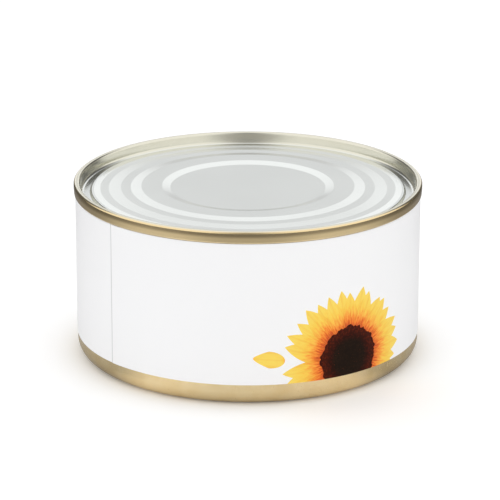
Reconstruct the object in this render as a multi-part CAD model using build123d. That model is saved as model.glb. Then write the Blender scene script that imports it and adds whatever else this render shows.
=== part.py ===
from build123d import *
from math import cos, radians, sin
import os

# A shut, shallow tuna can in three pieces: a drawn steel body, the end that is double-seamed
# onto it, and the paper label wrapped round it. The can is full and closed, so the body is
# solid. The Z axis is the can's axis, Z = 0 is the surface that it stands on, and -Y is the
# front. Lengths are in millimetres, and depths are measured down from the top of the seam.

# Overall size, and the seam that holds the end on
CAN_HEIGHT = 44.45
SEAM_DIAMETER = 87.3
SEAM_HEIGHT = 3.0
SEAM_THICKNESS = 1.4
SEAM_TOP_RADIUS = 0.6        # rounding of the seam's two upper edges
SEAM_FOOT_RADIUS = 0.35      # rounding of its lower edge
SEAM_BULGE = 0.12            # how far its outer face swells past its foot

# The end inside the seam: a wall down to a gutter, and a panel of concentric steps
CHUCK_WALL_LEAN = 0.45       # how much further out the wall's top is than its foot
GUTTER_DEPTH = 3.0
GUTTER_WIDTH = 2.3
GUTTER_OUTER_RADIUS = 0.9
GUTTER_INNER_RADIUS = 0.3
PANEL_WALL_LEAN = 0.25
PANEL_EDGE_RADIUS = 0.4
PANEL_CENTRE_DEPTH = 2.06
PANEL_STEPS = (              # each step's start and end, in from the panel's edge, and its depth
    (19.95, 17.55, 1.61),
    (12.55, 9.85, 1.84),
    (7.45, 4.35, 2.02),
    (2.25, 0.65, 2.17),
)
STEP_BEND_RADIUS = 2.5
END_THICKNESS_AT_GUTTER = 0.9
SEAM_REACH = 1.2             # how far the end sits inside the body's outer face

# The drawn body and its stepped base
SEAM_PROUD = 0.5             # how far the seam stands out past the body's wall
BODY_CORNER_RADIUS = 4.0
STANDING_RING_WIDTH = 1.3
BASE_RECESS_LEAN = 1.0
BASE_RECESS_RADIUS = 0.5
BASE_CENTRE_HEIGHT = 1.35
BASE_STEPS = (               # each step's start and end, in from the recess's edge, and its height
    (19.85, 17.45, 1.75),
    (11.65, 9.05, 1.4),
    (5.45, 3.05, 1.1),
)

# The label, a strip of paper glued over itself where its ends meet
LABEL_THICKNESS = 0.12
LABEL_BOTTOM = 5.6
LABEL_GAP_UNDER_SEAM = 0.12
LAP_EDGE_AZIMUTH = -50.0     # degrees from the front, positive towards +X
LAP_ANGLE = 13.0

SEAM_RADIUS = SEAM_DIAMETER / 2
BODY_RADIUS = SEAM_RADIUS - SEAM_PROUD
SEAM_FOOT_HEIGHT = CAN_HEIGHT - SEAM_HEIGHT
END_RADIUS_INSIDE_BODY = BODY_RADIUS - SEAM_REACH
END_UNDERSIDE_HEIGHT = CAN_HEIGHT - max(GUTTER_DEPTH, SEAM_HEIGHT) - END_THICKNESS_AT_GUTTER


def stepped_panel(edge_radius, centre_height, steps):
    """The outline of a panel from its centre outwards, as (radius, height) points."""
    points = [(0, centre_height)]
    height = centre_height
    for start, end, next_height in steps:
        points += [(edge_radius - start, height), (edge_radius - end, next_height)]
        height = next_height
    return points


def turned(outline):
    """The solid that an outline of edges in the XZ plane sweeps round the Z axis."""
    return revolve(make_face(outline), Axis.Z)


def in_xz(points):
    return [(radius, 0, height) for radius, height in points]


def make_body():
    """The drawn body: stepped base, standing ring, round corner and plain wall."""
    ring_outer = BODY_RADIUS - BODY_CORNER_RADIUS
    ring_inner = ring_outer - STANDING_RING_WIDTH
    recess_edge = ring_inner - BASE_RECESS_LEAN
    panel = stepped_panel(recess_edge, BASE_CENTRE_HEIGHT, BASE_STEPS)
    recess_height = panel[-1][1]
    base = panel + [
        (recess_edge, recess_height),
        (ring_inner, 0),
        (ring_outer, 0),
    ]
    bends = [STEP_BEND_RADIUS] * (len(panel) - 1) + [BASE_RECESS_RADIUS] * 2
    underside = FilletPolyline(*in_xz(base), radius=bends)
    corner = TangentArc(
        (ring_outer, 0, 0), (BODY_RADIUS, 0, BODY_CORNER_RADIUS), tangent=(1, 0, 0)
    )
    top = Polyline(*in_xz([
        (BODY_RADIUS, BODY_CORNER_RADIUS),
        (BODY_RADIUS, SEAM_FOOT_HEIGHT),
        (END_RADIUS_INSIDE_BODY, SEAM_FOOT_HEIGHT),
        (END_RADIUS_INSIDE_BODY, END_UNDERSIDE_HEIGHT),
        (0, END_UNDERSIDE_HEIGHT),
        (0, BASE_CENTRE_HEIGHT),
    ]))
    return turned(underside + corner + top)


def make_end():
    """The end: stepped panel, gutter, wall and the double seam over the body's rim."""
    wall_top = SEAM_RADIUS - SEAM_THICKNESS
    wall_foot = wall_top - CHUCK_WALL_LEAN
    gutter_inner = wall_foot - GUTTER_WIDTH
    panel_edge = gutter_inner - PANEL_WALL_LEAN
    steps = [(start, end, CAN_HEIGHT - depth) for start, end, depth in PANEL_STEPS]
    panel = stepped_panel(panel_edge, CAN_HEIGHT - PANEL_CENTRE_DEPTH, steps)
    panel_height = panel[-1][1]
    gutter_height = CAN_HEIGHT - GUTTER_DEPTH
    upper = panel + [
        (panel_edge, panel_height),
        (gutter_inner, gutter_height),
        (wall_foot, gutter_height),
        (wall_top, CAN_HEIGHT),
        (SEAM_RADIUS - SEAM_TOP_RADIUS, CAN_HEIGHT),
    ]
    bends = [STEP_BEND_RADIUS] * (len(panel) - 1)
    bends += [PANEL_EDGE_RADIUS, GUTTER_INNER_RADIUS, GUTTER_OUTER_RADIUS, SEAM_TOP_RADIUS]
    inside = FilletPolyline(*in_xz(upper), radius=bends)
    shoulder_height = CAN_HEIGHT - SEAM_TOP_RADIUS
    foot_radius = SEAM_RADIUS - SEAM_BULGE
    foot_top = SEAM_FOOT_HEIGHT + SEAM_FOOT_RADIUS
    shoulder = TangentArc(
        (SEAM_RADIUS - SEAM_TOP_RADIUS, 0, CAN_HEIGHT),
        (SEAM_RADIUS, 0, shoulder_height),
        tangent=(1, 0, 0),
    )
    face = TangentArc(
        (SEAM_RADIUS, 0, shoulder_height), (foot_radius, 0, foot_top), tangent=(0, 0, -1)
    )
    foot = TangentArc(
        (foot_radius - SEAM_FOOT_RADIUS, 0, SEAM_FOOT_HEIGHT),
        (foot_radius, 0, foot_top),
        tangent=(1, 0, 0),
    )
    under = Polyline(*in_xz([
        (foot_radius - SEAM_FOOT_RADIUS, SEAM_FOOT_HEIGHT),
        (END_RADIUS_INSIDE_BODY, SEAM_FOOT_HEIGHT),
        (END_RADIUS_INSIDE_BODY, END_UNDERSIDE_HEIGHT),
        (0, END_UNDERSIDE_HEIGHT),
        (0, CAN_HEIGHT - PANEL_CENTRE_DEPTH),
    ]))
    return turned(inside + shoulder + face + foot + under)


def around(radius, azimuth):
    """The point at a radius and at an azimuth from the front."""
    return (radius * sin(radians(azimuth)), -radius * cos(radians(azimuth)))


def make_label():
    """The paper round the body, with its glued lap standing one thickness proud."""
    outer_radius = BODY_RADIUS + LABEL_THICKNESS
    lap_end = LAP_EDGE_AZIMUTH + LAP_ANGLE
    opposite = LAP_EDGE_AZIMUTH + LAP_ANGLE / 2 + 180
    lap_start_point = around(outer_radius + LABEL_THICKNESS, LAP_EDGE_AZIMUTH)
    lap = ThreePointArc(
        lap_start_point,
        around(outer_radius + LABEL_THICKNESS / 2, LAP_EDGE_AZIMUTH + LAP_ANGLE / 2),
        around(outer_radius, lap_end),
    )
    single = ThreePointArc(
        around(outer_radius, lap_end),
        around(outer_radius, opposite),
        around(outer_radius, LAP_EDGE_AZIMUTH),
    )
    edge = Line(around(outer_radius, LAP_EDGE_AZIMUTH), lap_start_point)
    section = make_face(lap + single + edge) - Circle(BODY_RADIUS)
    height = SEAM_FOOT_HEIGHT - LABEL_GAP_UNDER_SEAM - LABEL_BOTTOM
    return Pos(0, 0, LABEL_BOTTOM) * extrude(section, height)


PIECES = {"can_body": make_body, "can_end": make_end, "label": make_label}

os.makedirs("parts", exist_ok=True)
for node, make in PIECES.items():
    export_step(make(), f"parts/{node}.step")
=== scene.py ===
import math
import random

import bpy
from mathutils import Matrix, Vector
from mathutils.geometry import delaunay_2d_cdt


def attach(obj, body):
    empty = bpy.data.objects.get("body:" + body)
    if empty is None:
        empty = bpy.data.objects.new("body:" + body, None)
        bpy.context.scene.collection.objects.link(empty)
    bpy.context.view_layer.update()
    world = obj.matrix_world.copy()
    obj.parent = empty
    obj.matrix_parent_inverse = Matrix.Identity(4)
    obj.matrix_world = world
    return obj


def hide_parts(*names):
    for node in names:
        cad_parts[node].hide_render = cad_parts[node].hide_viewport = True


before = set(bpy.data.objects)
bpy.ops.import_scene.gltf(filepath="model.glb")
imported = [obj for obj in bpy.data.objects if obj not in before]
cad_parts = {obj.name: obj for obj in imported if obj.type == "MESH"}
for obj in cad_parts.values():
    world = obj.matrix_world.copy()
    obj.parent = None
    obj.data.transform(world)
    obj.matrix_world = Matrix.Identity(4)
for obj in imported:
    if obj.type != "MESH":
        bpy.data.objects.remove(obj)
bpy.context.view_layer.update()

# A shut tuna can: a gold-lacquered drawn body, a bright stepped end seamed onto it, and a
# paper label printed with a sunflower. Lengths are in metres, written as millimetres times MM.
MM = 0.001

# ---------------------------------------------------------------- sizes, as in the CAD model
CAN_HEIGHT = 44.45 * MM
SEAM_RADIUS = 43.65 * MM
SEAM_HEIGHT = 3.0 * MM
SEAM_THICKNESS = 1.4 * MM
SEAM_TOP_RADIUS = 0.6 * MM
SEAM_FOOT_RADIUS = 0.35 * MM
SEAM_BULGE = 0.12 * MM
CHUCK_WALL_LEAN = 0.45 * MM
GUTTER_DEPTH = 3.0 * MM
GUTTER_WIDTH = 2.3 * MM
GUTTER_OUTER_RADIUS = 0.9 * MM
GUTTER_INNER_RADIUS = 0.3 * MM
PANEL_WALL_LEAN = 0.25 * MM
PANEL_EDGE_RADIUS = 0.4 * MM
PANEL_CENTRE_DEPTH = 2.06 * MM
PANEL_STEPS = ((19.3, 21.7, 1.61), (26.7, 29.4, 1.84), (31.8, 34.9, 2.02), (37.0, 38.6, 2.17))
STEP_BEND_RADIUS = 2.5 * MM
END_THICKNESS_AT_GUTTER = 0.9 * MM
SEAM_REACH = 1.2 * MM

BODY_RADIUS = 43.15 * MM
BODY_CORNER_RADIUS = 4.0 * MM
STANDING_RING_WIDTH = 1.3 * MM
BASE_RECESS_LEAN = 1.0 * MM
BASE_RECESS_RADIUS = 0.5 * MM
BASE_CENTRE_HEIGHT = 1.35 * MM
BASE_STEPS = ((17.0, 19.4, 1.75), (25.2, 27.8, 1.4), (31.4, 33.8, 1.1))

LABEL_THICKNESS = 0.12 * MM
LABEL_BOTTOM = 5.6 * MM
LABEL_GAP_UNDER_SEAM = 0.12 * MM
LAP_EDGE_AZIMUTH = math.radians(-50)
LAP_ANGLE = math.radians(13)

SEAM_FOOT_HEIGHT = CAN_HEIGHT - SEAM_HEIGHT
END_RADIUS_INSIDE_BODY = BODY_RADIUS - SEAM_REACH
END_UNDERSIDE_HEIGHT = CAN_HEIGHT - max(GUTTER_DEPTH, SEAM_HEIGHT) - END_THICKNESS_AT_GUTTER
LABEL_TOP = SEAM_FOOT_HEIGHT - LABEL_GAP_UNDER_SEAM
LABEL_RADIUS = BODY_RADIUS + LABEL_THICKNESS
MM_PER_DEGREE = math.radians(LABEL_RADIUS / MM)
FLOWER_CENTRE = Vector((26.4, 9.9))

# ---------------------------------------------------------------- camera
CAMERA_ELEVATION = math.radians(18.29)
CAMERA_DISTANCE = 0.7403
CAMERA_LENS = 210.95
CAMERA_TARGET = Vector((0.00055, 0.0, 0.02563))
CAMERA_ROLL = math.radians(0.12)


def make_camera():
    data = bpy.data.cameras.new("camera")
    data.lens = CAMERA_LENS
    data.sensor_width = 36
    camera = bpy.data.objects.new("camera", data)
    bpy.context.scene.collection.objects.link(camera)
    back = Vector((0, -math.cos(CAMERA_ELEVATION), math.sin(CAMERA_ELEVATION)))
    camera.location = CAMERA_TARGET + CAMERA_DISTANCE * back
    camera.rotation_euler = (math.pi / 2 - CAMERA_ELEVATION, 0, 0)
    camera.rotation_euler.rotate_axis("Z", CAMERA_ROLL)
    bpy.context.scene.camera = camera


# ---------------------------------------------------------------- node helpers
class Nodes:
    """Short calls for building a node tree."""

    def __init__(self, tree):
        self.tree = tree
        tree.nodes.clear()

    def add(self, kind, inputs=None, **settings):
        node = self.tree.nodes.new(kind)
        for name, value in settings.items():
            setattr(node, name, value)
        for name, value in (inputs or {}).items():
            self.put(node.inputs[name], value)
        return node

    def put(self, socket, value):
        if isinstance(value, bpy.types.NodeSocket):
            self.tree.links.new(value, socket)
        else:
            socket.default_value = value

    def math(self, operation, *values, clamp=False):
        inputs = dict(enumerate(values))
        return self.add("ShaderNodeMath", inputs, operation=operation, use_clamp=clamp).outputs[0]

    def ramp(self, value, low, high, to_low=0.0, to_high=1.0):
        """A smooth step from to_low at low to to_high at high."""
        inputs = {"Value": value, 1: low, 2: high, 3: to_low, 4: to_high}
        return self.add("ShaderNodeMapRange", inputs, interpolation_type="SMOOTHSTEP").outputs[0]

    def noise(self, vector, scale, detail=3.0, roughness=0.5):
        inputs = {"Vector": vector, "Scale": scale, "Detail": detail, "Roughness": roughness}
        return self.add("ShaderNodeTexNoise", inputs).outputs["Fac"]

    def mix(self, factor, a, b, blend="MIX"):
        node = self.add("ShaderNodeMix", data_type="RGBA", blend_type=blend)
        for socket, value in ((0, factor), (6, a), (7, b)):
            self.put(node.inputs[socket], value)
        return node.outputs[2]

    def stretched(self, vector, scale):
        inputs = {"Vector": vector, "Scale": scale}
        return self.add("ShaderNodeMapping", inputs).outputs[0]

    def colours(self, value, stops):
        """A colour ramp over (position, colour) stops."""
        node = self.add("ShaderNodeValToRGB", {"Fac": value})
        elements = node.color_ramp.elements
        while len(elements) < len(stops):
            elements.new(0.5)
        for element, (position, colour) in zip(elements, stops):
            element.position = position
            element.color = colour
        return node.outputs["Color"]


def srgb(red, green, blue):
    """A linear colour from 0 to 255 sRGB numbers."""
    def linear(value):
        value /= 255
        return value / 12.92 if value <= 0.04045 else ((value + 0.055) / 1.055) ** 2.4
    return (linear(red), linear(green), linear(blue), 1.0)


def new_material(name):
    material = bpy.data.materials.new(name)
    material.use_nodes = True
    nodes = Nodes(material.node_tree)
    shader = nodes.add("ShaderNodeBsdfPrincipled")
    output = nodes.add("ShaderNodeOutputMaterial")
    nodes.put(output.inputs["Surface"], shader.outputs[0])
    return material, nodes, shader


# ---------------------------------------------------------------- metal
TIN = srgb(228, 231, 229)
LACQUER = srgb(236, 212, 164)
WALL_TINT = srgb(222, 219, 203)
BODY_GOLD = srgb(238, 216, 170)
BODY_GOLD_DARK = srgb(231, 206, 156)


def radius_and_place(nodes):
    """The distance from the can's axis, the object coordinates and their separate parts."""
    place = nodes.add("ShaderNodeTexCoord").outputs["Object"]
    parts = nodes.add("ShaderNodeSeparateXYZ", {"Vector": place})
    squares = [nodes.math("MULTIPLY", parts.outputs[i], parts.outputs[i]) for i in (0, 1)]
    return nodes.math("SQRT", nodes.math("ADD", *squares)), place, parts


def rolled_steel(nodes, shader, place, colour, roughness, grain_depth):
    """Fine rolling grain, faint scuffs and a slow unevenness over a metal colour."""
    grain = nodes.noise(nodes.stretched(place, (900, 14000, 9000)), 1.0, 2)
    scuffs = nodes.noise(nodes.stretched(place, (2600, 260, 900)), 1.0, 5, 0.65)
    cloud = nodes.noise(place, 60, 2)
    dull = nodes.ramp(scuffs, 0.56, 0.72, 0.0, 0.08)
    rough = nodes.math("ADD", nodes.ramp(cloud, 0.3, 0.7, roughness, roughness + 0.05), dull)
    shade = nodes.ramp(grain, 0.2, 0.8, 0.965, 1.0)
    tone = nodes.add("ShaderNodeCombineXYZ", {0: shade, 1: shade, 2: shade}).outputs[0]
    nodes.put(shader.inputs["Base Color"], nodes.mix(1.0, colour, tone, "MULTIPLY"))
    nodes.put(shader.inputs["Roughness"], rough)
    shader.inputs["Metallic"].default_value = 1.0
    bump = nodes.add("ShaderNodeBump", {"Height": grain, "Distance": grain_depth, "Strength": 0.35})
    nodes.put(shader.inputs["Normal"], bump.outputs[0])


def make_end_metal():
    material, nodes, shader = new_material("tinplate_end")
    radius, place, _ = radius_and_place(nodes)
    on_wall = nodes.ramp(radius, 41.2 * MM, 41.9 * MM)
    on_seam = nodes.ramp(radius, 43.15 * MM, 43.62 * MM)
    colour = nodes.mix(on_seam, nodes.mix(on_wall, TIN, WALL_TINT), LACQUER)
    rolled_steel(nodes, shader, place, colour, 0.16, 0.000003)
    return material


def make_body_metal():
    material, nodes, shader = new_material("gold_lacquered_steel")
    place = nodes.add("ShaderNodeTexCoord").outputs["Object"]
    mottle = nodes.noise(place, 220, 4)
    colour = nodes.mix(nodes.ramp(mottle, 0.35, 0.7), BODY_GOLD, BODY_GOLD_DARK)
    rolled_steel(nodes, shader, place, colour, 0.2, 0.000004)
    return material


# ---------------------------------------------------------------- paper and ink
PAPER = srgb(250, 250, 251)
# the grey of a painted shadow along the lap's edge
LAP_PAINTED_SHADOW = srgb(196, 196, 196)
PETAL_VEIN = srgb(238, 158, 40)
FLORET_GAP = srgb(18, 8, 4)
FLORET_GLINT = srgb(122, 52, 16)
PETAL_STOPS = (
    (0.0, srgb(200, 72, 12)),
    (0.08, srgb(240, 112, 30)),
    (0.2, srgb(252, 150, 50)),
    (0.38, srgb(255, 188, 72)),
    (0.58, srgb(255, 210, 80)),
    (1.0, srgb(255, 222, 98)),
)
DISC_STOPS = (
    (0.0, srgb(30, 18, 6)),
    (0.55, srgb(36, 20, 8)),
    (0.7, srgb(66, 18, 4)),
    (0.86, srgb(92, 28, 6)),
    (1.0, srgb(78, 22, 6)),
)


def paper_surface(nodes, shader, colour):
    """Coated paper: smooth, faintly glossy, with a fine fibre relief."""
    place = nodes.add("ShaderNodeTexCoord").outputs["Object"]
    fibre = nodes.noise(place, 5200, 4, 0.6)
    cockle = nodes.noise(place, 150, 2)
    height = nodes.math("ADD", nodes.math("MULTIPLY", fibre, 0.12), cockle)
    bump = nodes.add("ShaderNodeBump", {"Height": height, "Distance": 0.00003, "Strength": 0.3})
    nodes.put(shader.inputs["Normal"], bump.outputs[0])
    nodes.put(shader.inputs["Roughness"], nodes.ramp(fibre, 0.3, 0.7, 0.4, 0.48))
    tone = nodes.ramp(fibre, 0.25, 0.75, 0.985, 1.0)
    grey = nodes.add("ShaderNodeCombineXYZ", {0: tone, 1: tone, 2: tone}).outputs[0]
    nodes.put(shader.inputs["Base Color"], nodes.mix(1.0, colour, grey, "MULTIPLY"))


def print_polar(nodes):
    """The label's flat coordinates about the flower's centre, in mm, with the radius and angle."""
    flat = nodes.add("ShaderNodeUVMap", uv_map="print").outputs[0]
    radius = nodes.add("ShaderNodeVectorMath", {0: flat}, operation="LENGTH").outputs["Value"]
    parts = nodes.add("ShaderNodeSeparateXYZ", {"Vector": flat})
    angle = nodes.math("ARCTAN2", parts.outputs[1], parts.outputs[0])
    return flat, radius, angle


def make_paper():
    material, nodes, shader = new_material("label_paper")
    # painted shadow: the paper is greyed within about a third of a millimetre either side of the
    # lap's edge, at the step
    flat = nodes.add("ShaderNodeUVMap", uv_map="print").outputs[0]
    along = nodes.add("ShaderNodeSeparateXYZ", {"Vector": flat}).outputs[0]
    start = math.degrees(LAP_EDGE_AZIMUTH) * MM_PER_DEGREE - FLOWER_CENTRE.x
    ends = [nodes.math("ABSOLUTE", nodes.math("SUBTRACT", along, start + turn * MM_PER_DEGREE))
            for turn in (0, 360)]
    near = nodes.math("MINIMUM", *ends)
    shade = nodes.ramp(near, 0.08, 0.34, 0.8, 0.0)
    paper_surface(nodes, shader, nodes.mix(shade, PAPER, LAP_PAINTED_SHADOW))
    return material


def make_petal_ink():
    """Petals run from burnt orange at the disc to yellow at the tips, with fine veins."""
    material, nodes, shader = new_material("petal_ink")
    _, radius, angle = print_polar(nodes)
    petal = nodes.add("ShaderNodeUVMap", uv_map="petal").outputs[0]
    along = nodes.add("ShaderNodeSeparateXYZ", {"Vector": petal})
    tone = nodes.add("ShaderNodeAttribute", attribute_name="petal_tone").outputs["Fac"]
    spokes = nodes.add("ShaderNodeCombineXYZ", {0: nodes.math("MULTIPLY", angle, 9.0),
                                                1: nodes.math("MULTIPLY", radius, 0.16)})
    streak = nodes.noise(spokes.outputs[0], 3.0, 4, 0.6)
    reach = nodes.math("ADD", radius, nodes.ramp(streak, 0.25, 0.75, 1.1, -1.7))
    reach = nodes.math("ADD", reach, nodes.math("MULTIPLY", tone, 0.7))
    colour = nodes.colours(nodes.ramp(reach, 6.9, 16.7), PETAL_STOPS)
    veins = nodes.noise(nodes.stretched(petal, (1.5, 7.0, 1.0)), 2.0, 3)
    edge = nodes.math("ABSOLUTE", along.outputs[1])
    crease = nodes.math("MULTIPLY", nodes.ramp(edge, 0.5, 1.0), 0.34)
    fold = nodes.math("MULTIPLY", nodes.ramp(edge, 0.0, 0.16, 1.0, 0.0), 0.16)
    darker = nodes.math("ADD", crease, fold)
    darker = nodes.math("ADD", nodes.ramp(veins, 0.5, 0.75, 0.0, 0.22), darker)
    colour = nodes.mix(darker, colour, PETAL_VEIN)
    paper_surface(nodes, shader, colour)
    shader.inputs["Specular IOR Level"].default_value = 0.3
    return material


def make_disc_ink():
    """The flower's disc: packed florets, near black in the middle and red-brown at the rim."""
    material, nodes, shader = new_material("disc_ink")
    flat, radius, _ = print_polar(nodes)
    wobble = nodes.noise(flat, 0.9, 3)
    colour = nodes.colours(nodes.math("DIVIDE", nodes.math("ADD", radius, wobble), 9.0), DISC_STOPS)
    florets = nodes.add("ShaderNodeTexVoronoi", {"Vector": flat, "Scale": 1.9}).outputs["Distance"]
    colour = nodes.mix(nodes.ramp(florets, 0.25, 0.6, 0.0, 0.55), colour, FLORET_GAP)
    glints = nodes.ramp(nodes.noise(flat, 2.6, 2), 0.66, 0.74, 0.0, 0.5)
    colour = nodes.mix(glints, colour, FLORET_GLINT)
    paper_surface(nodes, shader, colour)
    shader.inputs["Specular IOR Level"].default_value = 0.08
    return material


# ---------------------------------------------------------------- turned pieces
SEGMENTS = 256
ARC_STEP = math.radians(6)
# the seam's outer face is drawn straight, with one soft bend, where the CAD has an arc
SEAM_BEND_SHARE = 0.45
SEAM_BEND_RADIUS = 10 * MM


def rounded(points, radii):
    """Runs of (radius, height, normal) along an outline whose corners are rounded.

    Each run is smooth, and two runs meet at a sharp corner. radii has one entry for each
    corner between the first point and the last."""
    points = [Vector(point) for point in points]
    runs, run = [], []
    for i, here in enumerate(points):
        before = (here - points[i - 1]).normalized() if i else None
        after = (points[i + 1] - here).normalized() if i + 1 < len(points) else None
        if before is None or after is None:
            way = after or before
            run.append((here, Vector((-way.y, way.x))))
            continue
        radius = radii[i - 1]
        n_in, n_out = Vector((-before.y, before.x)), Vector((-after.y, after.x))
        if radius == 0:
            run.append((here, n_in))
            runs.append(run)
            run = [(here, n_out)]
            continue
        turn = before.angle_signed(after)
        reach = radius * math.tan(abs(turn) / 2)
        start = here - before * reach
        side = 1 if turn > 0 else -1
        centre = start - n_in * radius * side
        steps = max(2, math.ceil(abs(turn) / ARC_STEP))
        for k in range(steps + 1):
            share = k / steps
            normal = (n_in * math.sin((1 - share) * turn) + n_out * math.sin(share * turn))
            normal = (normal / math.sin(turn)).normalized()
            run.append((centre + normal * radius * side, normal))
    runs.append(run)
    return runs


def lathe(name, runs, material):
    """Turns the smooth runs of an outline round the Z axis into one closed mesh."""
    stops, strips = [], []
    for run in runs:
        for (point, normal), (next_point, next_normal) in zip(run, run[1:]):
            for p in (point, next_point):
                if not stops or (stops[-1] - p).length > 1e-9:
                    stops.append(p)
            strips.append((len(stops) - 2, normal, next_normal))
    if (stops[0] - stops[-1]).length < 1e-9:
        stops.pop()
    verts, rings = [], []
    for p in stops:
        if p.x < 1e-9:
            rings.append([len(verts)] * SEGMENTS)
            verts.append((0, 0, p.y))
        else:
            rings.append(list(range(len(verts), len(verts) + SEGMENTS)))
            for k in range(SEGMENTS):
                turn = 2 * math.pi * k / SEGMENTS
                verts.append((p.x * math.cos(turn), p.x * math.sin(turn), p.y))
    faces, normals = [], []
    for first, n0, n1 in strips:
        low, high = rings[first], rings[(first + 1) % len(stops)]
        if low[0] == low[1] and high[0] == high[1]:
            continue
        for k in range(SEGMENTS):
            j = (k + 1) % SEGMENTS
            corners = [(low[k], n0, k), (high[k], n1, k), (high[j], n1, k + 1), (low[j], n0, k + 1)]
            if low[0] == low[1]:
                corners.pop(3)
            if high[0] == high[1]:
                corners.pop(2)
            faces.append([corner[0] for corner in corners])
            for _, normal, turn in corners:
                angle = 2 * math.pi * turn / SEGMENTS
                normals.append((normal.x * math.cos(angle), normal.x * math.sin(angle), normal.y))
    return make_piece(name, verts, faces, normals, [material])


def make_piece(name, verts, faces, normals, materials):
    """A smooth mesh object with a given normal at each face corner."""
    mesh = bpy.data.meshes.new(name)
    mesh.from_pydata([tuple(v) for v in verts], [], faces)
    for material in materials:
        mesh.materials.append(material)
    mesh.polygons.foreach_set("use_smooth", [True] * len(mesh.polygons))
    mesh.normals_split_custom_set(normals)
    piece = bpy.data.objects.new(name, mesh)
    bpy.context.scene.collection.objects.link(piece)
    return piece


def stepped_panel(centre_height, steps):
    """The outline of a panel from its centre outwards, as (radius, height) points."""
    points = [(0, centre_height)]
    height = centre_height
    for inner_radius, outer_radius, next_height in steps:
        points += [(inner_radius, height), (outer_radius, next_height)]
        height = next_height
    return points


def make_end(material):
    """The stepped panel, gutter and wall, and the double seam that clasps the body."""
    wall_top = SEAM_RADIUS - SEAM_THICKNESS
    wall_foot = wall_top - CHUCK_WALL_LEAN
    gutter_inner = wall_foot - GUTTER_WIDTH
    steps = [(a * MM, b * MM, CAN_HEIGHT - depth * MM) for a, b, depth in PANEL_STEPS]
    panel = stepped_panel(CAN_HEIGHT - PANEL_CENTRE_DEPTH, steps)
    foot_radius = SEAM_RADIUS - SEAM_BULGE
    points = panel + [
        (gutter_inner - PANEL_WALL_LEAN, panel[-1][1]),
        (gutter_inner, CAN_HEIGHT - GUTTER_DEPTH),
        (wall_foot, CAN_HEIGHT - GUTTER_DEPTH),
        (wall_top, CAN_HEIGHT),
        (SEAM_RADIUS, CAN_HEIGHT),
        (SEAM_RADIUS, CAN_HEIGHT - SEAM_HEIGHT * SEAM_BEND_SHARE),
        (foot_radius, SEAM_FOOT_HEIGHT),
        (END_RADIUS_INSIDE_BODY, SEAM_FOOT_HEIGHT),
        (END_RADIUS_INSIDE_BODY, END_UNDERSIDE_HEIGHT),
        (0, END_UNDERSIDE_HEIGHT),
    ]
    bends = [STEP_BEND_RADIUS] * (len(panel) - 1)
    bends += [PANEL_EDGE_RADIUS, GUTTER_INNER_RADIUS, GUTTER_OUTER_RADIUS]
    bends += [SEAM_TOP_RADIUS, SEAM_TOP_RADIUS, SEAM_BEND_RADIUS, SEAM_FOOT_RADIUS, 0, 0]
    piece = lathe("seamed_end", rounded(points, bends), material)
    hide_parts("can_end")
    return piece


def make_body(material):
    """The stepped base, standing ring, round corner and plain wall, solid to under the end."""
    ring_outer = BODY_RADIUS - BODY_CORNER_RADIUS
    ring_inner = ring_outer - STANDING_RING_WIDTH
    steps = [(a * MM, b * MM, height * MM) for a, b, height in BASE_STEPS]
    panel = stepped_panel(BASE_CENTRE_HEIGHT, steps)
    points = [(0, END_UNDERSIDE_HEIGHT), (END_RADIUS_INSIDE_BODY, END_UNDERSIDE_HEIGHT),
              (END_RADIUS_INSIDE_BODY, SEAM_FOOT_HEIGHT), (BODY_RADIUS, SEAM_FOOT_HEIGHT),
              (BODY_RADIUS, 0), (ring_inner, 0),
              (ring_inner - BASE_RECESS_LEAN, panel[-1][1])] + panel[::-1]
    bends = [0, 0, 0, BODY_CORNER_RADIUS, BASE_RECESS_RADIUS, BASE_RECESS_RADIUS]
    bends += [STEP_BEND_RADIUS] * (len(panel) - 1)
    piece = lathe("drawn_body", rounded(points, bends), material)
    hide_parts("can_body")
    return piece


# ---------------------------------------------------------------- the label and its print
# The label is laid flat to be printed: s runs along it in millimetres from the front, z is
# the height. Regions of ink divide its outer face, later regions over earlier ones.
LABEL_SEED = 7
COLUMN_ANGLE = math.radians(1.25)
DISC_RADIUS = 8.1
DISC_POINTS = 110
PETAL_ROOT_RADIUS = DISC_RADIUS - 2.5
LEFT_PETALS_LONGER = 1.4
PETALS = 33
PETAL_TIP_RADIUS = 17.4
PETAL_HALF_WIDTH = 2.75
FIRST_PETAL = math.radians(164.8)
MISSING_PETAL = PETALS - 1
PETAL_POINTS = 14


def petal_outline(root, tip, half_width, bend):
    """A pointed petal along x, from root to tip, as points round its edge."""
    sides = []
    for side in (1, -1):
        edge = []
        for k in range(PETAL_POINTS + 1):
            t = k / PETAL_POINTS
            swell = 0.5 + 0.5 * math.sin(math.pi / 2 * min(t / 0.55, 1))
            width = half_width * swell * (1 - t ** 3.4)
            edge.append(Vector((root + (tip - root) * t, side * width + bend * t * t)))
        sides.append(edge)
    return sides[1] + sides[0][-2::-1]


def sunflower(rng):
    """The flower's regions: every other petal, then those between, over them, then the disc.

    Each region is its outline, kind, direction, length and half-width."""
    regions = []
    for k in list(range(0, PETALS, 2)) + list(range(1, PETALS, 2)):
        turn = FIRST_PETAL - 2 * math.pi * (k + rng.uniform(-0.13, 0.13)) / PETALS
        tip = PETAL_TIP_RADIUS + rng.uniform(-0.8, 0.6)
        tip += LEFT_PETALS_LONGER * max(0, -math.cos(turn)) ** 2
        half_width = PETAL_HALF_WIDTH * rng.uniform(0.88, 1.08)
        bend = rng.uniform(-0.6, 0.6)
        if k != MISSING_PETAL:
            outline = petal_outline(PETAL_ROOT_RADIUS, tip, half_width, bend)
            regions.append((turned(outline, turn), "petal", turn, tip, half_width))
    rim = []
    for k in range(DISC_POINTS):
        turn = 2 * math.pi * k / DISC_POINTS
        radius = DISC_RADIUS + rng.uniform(-0.3, 0.42) + 0.12 * math.sin(5 * turn)
        rim.append(FLOWER_CENTRE + radius * Vector((math.cos(turn), math.sin(turn))))
    regions.append((rim, "disc", 0.0, 1.0, 1.0))
    return regions


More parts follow.
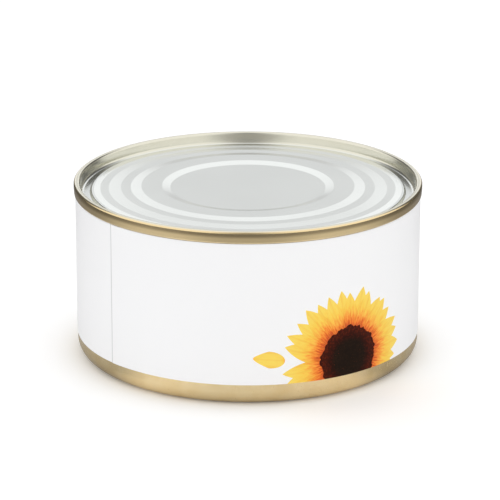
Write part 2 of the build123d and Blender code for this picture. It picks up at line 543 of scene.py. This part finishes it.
def turned(outline, turn):
    """An outline turned about the origin and moved to the flower's centre."""
    c, s = math.cos(turn), math.sin(turn)
    return [FLOWER_CENTRE + Vector((p.x * c - p.y * s, p.x * s + p.y * c)) for p in outline]


LOOSE_PETAL_TIP = Vector((1.3, 12.4))
LOOSE_PETAL_LENGTH = 7.8
LOOSE_PETAL_HALF_WIDTH = 2.15
LOOSE_PETAL_POINTS = 40


def loose_petal():
    """One fallen petal left of the flower, pointed at the left and round at the right."""
    outline = []
    for k in range(LOOSE_PETAL_POINTS):
        turn = 2 * math.pi * k / LOOSE_PETAL_POINTS
        along = (1 - math.cos(turn)) / 2
        width = -LOOSE_PETAL_HALF_WIDTH * math.sin(turn) * (0.5 + 0.5 * min(1, along / 0.5))
        outline.append(LOOSE_PETAL_TIP + Vector((along * LOOSE_PETAL_LENGTH, width - along * 0.8)))
    return (outline, "loose", 0.0, LOOSE_PETAL_LENGTH, LOOSE_PETAL_HALF_WIDTH)


def clipped(outline, low, high):
    """The outline cut off below low and above high."""
    for level, keep_above in ((low, True), (high, False)):
        kept = []
        for a, b in zip(outline, outline[1:] + outline[:1]):
            a_in = (a.y >= level) == keep_above
            b_in = (b.y >= level) == keep_above
            if a_in:
                kept.append(a)
            if a_in != b_in:
                share = (level - a.y) / (b.y - a.y)
                kept.append(Vector((a.x + share * (b.x - a.x), level)))
        outline = kept
    return outline


def label_radius(azimuth):
    """The paper's outer radius: one thickness more at the lap's edge, easing back to one."""
    share = (azimuth - LAP_EDGE_AZIMUTH) / LAP_ANGLE
    if not 0 <= share <= 1:
        return LABEL_RADIUS
    return LABEL_RADIUS + LABEL_THICKNESS * (1 - share * share * (3 - 2 * share))


def make_label(paper, petal_ink, disc_ink):
    """The printed paper: its outer face cut up into ink regions and bent round the body."""
    rng = random.Random(LABEL_SEED)
    flat_radius = LABEL_RADIUS / MM
    s_start = LAP_EDGE_AZIMUTH * flat_radius
    s_end = (LAP_EDGE_AZIMUTH + 2 * math.pi) * flat_radius
    low, high = LABEL_BOTTOM / MM, LABEL_TOP / MM
    columns = round(2 * math.pi / COLUMN_ANGLE)
    regions = [([], "paper", 0.0, 1.0, 1.0)]
    regions += [r for r in sunflower(rng) if clipped(r[0], low, high)] + [loose_petal()]
    tones = [0.0] + [rng.uniform(-1, 1) for _ in regions[1:]]

    points, edges, faces = [], [], []
    for k in range(columns + 1):
        s = s_start + (s_end - s_start) * k / columns
        points += [Vector((s, low)), Vector((s, high))]
        edges.append((2 * k, 2 * k + 1))
    faces.append([2 * k for k in range(columns + 1)] + [2 * k + 1 for k in range(columns, -1, -1)])
    for outline, *_ in regions[1:]:
        loop = clipped(outline, low, high)
        faces.append(list(range(len(points), len(points) + len(loop))))
        points += loop
    flat, _, tris, _, _, origins = delaunay_2d_cdt(points, edges, faces, 1, 1e-6, True)

    verts, verts_azimuth = [], []
    for p in flat:
        azimuth = p.x / flat_radius
        radius = label_radius(azimuth)
        verts.append((radius * math.sin(azimuth), -radius * math.cos(azimuth), p.y * MM))
        verts_azimuth.append(azimuth)
    mesh_faces, kinds, uvs, flats, tone_of, normals = [], [], [], [], [], []
    slots = {"paper": 0, "petal": 1, "loose": 1, "disc": 2}
    for tri, origin in zip(tris, origins):
        owner = max(origin)
        _, kind, turn, length, half_width = regions[owner]
        mesh_faces.append(list(tri))
        kinds.append(slots[kind])
        for i in tri:
            p = flat[i]
            if kind == "loose":
                offset = p - LOOSE_PETAL_TIP
                uvs.append((offset.x / length + owner, (offset.y + 0.1 * offset.x) / half_width))
                share = 2 * offset.x / length - 1
                flats.append((16.5 - 6.0 * share ** 6, 0.5 * offset.y))
            else:
                offset = p - FLOWER_CENTRE
                along = offset.x * math.cos(turn) + offset.y * math.sin(turn)
                across = -offset.x * math.sin(turn) + offset.y * math.cos(turn)
                uvs.append((along / length + 2 * owner, across / half_width))
                flats.append(tuple(offset))
            tone_of.append(tones[owner])
            normals.append((math.sin(verts_azimuth[i]), -math.cos(verts_azimuth[i]), 0))

    def ring_of(level):
        found = [i for i, p in enumerate(flat) if abs(p.y - level) < 1e-4]
        return sorted(found, key=lambda i: flat[i].x)

    for level, up in ((high, 1), (low, -1)):
        outer = ring_of(level)
        inner = []
        for i in outer:
            azimuth = verts_azimuth[i]
            inner.append(len(verts))
            x, y = BODY_RADIUS * math.sin(azimuth), -BODY_RADIUS * math.cos(azimuth)
            verts.append((x, y, level * MM))
            verts_azimuth.append(azimuth)
        for a, b, c, d in zip(outer, outer[1:], inner[1:], inner):
            face = [a, b, c, d] if up > 0 else [b, a, d, c]
            add_plain(face, (0, 0, up), mesh_faces, kinds, uvs, flats, tone_of, normals)
        if up > 0:
            inner_top, outer_top = inner, outer
        else:
            inner_low, outer_low = inner, outer
    # the wall uses only the lower vertices that stand under an upper one, so it isn't closed
    # where the print adds others
    under = matched(inner_low, inner_top, verts_azimuth)
    for a, b, c, d in zip(inner_top, inner_top[1:], under[1:], under):
        azimuth = verts_azimuth[a]
        add_plain([a, b, c, d], (-math.sin(azimuth), math.cos(azimuth), 0),
                  mesh_faces, kinds, uvs, flats, tone_of, normals)
    for outer_a, outer_b, inner_a, inner_b in (
            (outer_low[0], outer_top[0], inner_low[0], inner_top[0]),
            (outer_top[-1], outer_low[-1], inner_top[-1], inner_low[-1])):
        azimuth = verts_azimuth[outer_a]
        way = -1 if outer_a == outer_low[0] else 1
        side = (way * math.cos(azimuth), way * math.sin(azimuth), 0)
        add_plain([outer_a, outer_b, inner_b, inner_a], side,
                  mesh_faces, kinds, uvs, flats, tone_of, normals)

    piece = make_piece("paper_label", verts, mesh_faces, normals, [paper, petal_ink, disc_ink])
    mesh = piece.data
    mesh.polygons.foreach_set("material_index", kinds)
    for name, values in (("print", flats), ("petal", uvs)):
        layer = mesh.uv_layers.new(name=name)
        layer.data.foreach_set("uv", [x for pair in values for x in pair])
    tone = mesh.attributes.new("petal_tone", "FLOAT", "CORNER")
    tone.data.foreach_set("value", tone_of)
    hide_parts("label")
    return piece


def matched(ring, guide, azimuths):
    """The vertices of ring at the azimuths of guide."""
    return [min(ring, key=lambda j: abs(azimuths[j] - azimuths[i])) for i in guide]


def add_plain(face, normal, mesh_faces, kinds, uvs, flats, tone_of, normals):
    """Adds an unprinted face of paper."""
    mesh_faces.append(face)
    kinds.append(0)
    for _ in face:
        uvs.append((0, 0))
        flats.append((0, 0))
        tone_of.append(0.0)
        normals.append(normal)


# ---------------------------------------------------------------- the studio
FLOOR_RADIUS = 0.6
FLOOR_GAP = 0.00002


def make_floor():
    """A round table: white to the camera and pale to soft light, with the can's soft shadow.

    To glossy rays alone its colour is a painted reflection for the metal: darker further out and
    towards the sides."""
    bpy.ops.mesh.primitive_circle_add(vertices=96, radius=FLOOR_RADIUS, fill_type="NGON")
    floor = bpy.context.object
    floor.name = "floor"
    floor.location.z = -FLOOR_GAP
    material, nodes, shader = new_material("white_table")
    path = nodes.add("ShaderNodeLightPath")
    seen = path.outputs["Is Camera Ray"]
    radius, _, parts = radius_and_place(nodes)
    # painted reflection: to glossy rays alone the floor is painted lighter and darker by distance
    # and direction from the can
    x, y = parts.outputs[0], nodes.math("MULTIPLY", parts.outputs[1], -1.0)
    turn = nodes.math("ABSOLUTE", nodes.math("ARCTAN2", x, y))
    turn = nodes.math("MULTIPLY", turn, 180 / math.pi)
    level = nodes.ramp(radius, 0.075, 0.18, 0.86, 0.15)
    level = nodes.math("MULTIPLY", level, nodes.ramp(turn, 10, 45, 1.0, 1.45))
    level = nodes.math("MULTIPLY", level, nodes.ramp(turn, 62, 108, 1.0, 0.45))
    painted_near_reflection = nodes.ramp(turn, 8, 34, 0.84, 1.0)
    painted_near_reflection = nodes.math("MULTIPLY", painted_near_reflection, nodes.ramp(turn, 38, 60, 1.0, 0.5))
    blend = nodes.add("ShaderNodeMix", data_type="FLOAT")
    for socket, value in ((0, nodes.ramp(radius, 0.065, 0.1)), (2, painted_near_reflection), (3, level)):
        nodes.put(blend.inputs[socket], value)
    level = blend.outputs[0]
    painted_reflection_colour = nodes.add("ShaderNodeCombineXYZ", {0: level, 1: level, 2: level}).outputs[0]
    base = nodes.mix(path.outputs["Is Glossy Ray"], (0.94, 0.94, 0.94, 1), painted_reflection_colour)
    nodes.put(shader.inputs["Base Color"], nodes.mix(seen, base, (1, 1, 1, 1)))
    shader.inputs["Roughness"].default_value = 1.0
    shader.inputs["Specular IOR Level"].default_value = 0.0
    glow = nodes.math("MULTIPLY", seen, 0.06)
    nodes.put(shader.inputs["Emission Strength"], glow)
    shader.inputs["Emission Color"].default_value = (1, 1, 1, 1)
    floor.data.materials.append(material)


def make_world():
    """A studio that is even and white to camera and diffuse rays.

    To all other rays it has a grey card, dark panels and a dim front, which the metal reflects."""
    world = bpy.data.worlds.new("studio")
    bpy.context.scene.world = world
    world.use_nodes = True
    nodes = Nodes(world.node_tree)
    way = nodes.add("ShaderNodeTexCoord").outputs["Generated"]
    parts = nodes.add("ShaderNodeSeparateXYZ", {"Vector": way})
    x, y, z = parts.outputs
    height = nodes.math("MULTIPLY", nodes.math("ARCSINE", z), 180 / math.pi)
    azimuth = nodes.math("MULTIPLY", nodes.math("ARCTAN2", x, y), 180 / math.pi)
    off_back = nodes.math("ABSOLUTE", azimuth)
    # a narrow grey card straight behind the can, darker low down
    narrow = nodes.ramp(off_back, 3.3, 5.2, 1.0, 0.0)
    card_depth = nodes.math("MULTIPLY", nodes.ramp(height, 22.5, 26, 0.34, 0.0), narrow)
    low = nodes.math("MULTIPLY", nodes.ramp(height, 8, 12.5, 0.26, 0.0), nodes.ramp(height, 3, 7))
    low_depth = nodes.math("MULTIPLY", low, narrow)
    card = nodes.math("SUBTRACT", 1.15, nodes.math("ADD", card_depth, low_depth))
    # a darker gap towards the front, where the camera stands
    gap = nodes.ramp(off_back, 146, 178, 1.0, 0.36)
    # a dark panel low down either side of the card
    panel = nodes.ramp(off_back, 15, 24)
    panel = nodes.math("MULTIPLY", panel, nodes.ramp(off_back, 50, 66, 1.0, 0.0))
    panel = nodes.math("MULTIPLY", panel, nodes.ramp(height, 32, 48, 1.0, 0.0))
    side_dark = nodes.math("SUBTRACT", 1.0, nodes.math("MULTIPLY", panel, 0.88))
    below = nodes.ramp(height, -6, 3, 0.25, 1.0)
    level = nodes.math("MULTIPLY", card, gap)
    level = nodes.math("MULTIPLY", level, nodes.math("MULTIPLY", side_dark, below))
    seen = nodes.add("ShaderNodeLightPath")
    even = nodes.math("MAXIMUM", seen.outputs["Is Camera Ray"], seen.outputs["Is Diffuse Ray"])
    strength = nodes.add("ShaderNodeMix", data_type="FLOAT")
    nodes.put(strength.inputs[0], even)
    nodes.put(strength.inputs[2], level)
    nodes.put(strength.inputs[3], 1.0)
    background = nodes.add("ShaderNodeBackground", {"Color": (1, 1, 1, 1)})
    nodes.put(background.inputs["Strength"], strength.outputs[0])
    output = nodes.add("ShaderNodeOutputWorld")
    nodes.put(output.inputs["Surface"], background.outputs[0])


def make_scene():
    make_camera()
    end = make_end(make_end_metal())
    body = make_body(make_body_metal())
    label = make_label(make_paper(), make_petal_ink(), make_disc_ink())
    for piece in (end, body, label):
        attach(piece, "root")
    make_floor()
    make_world()
    bpy.context.scene.view_settings.view_transform = "Standard"


make_scene()
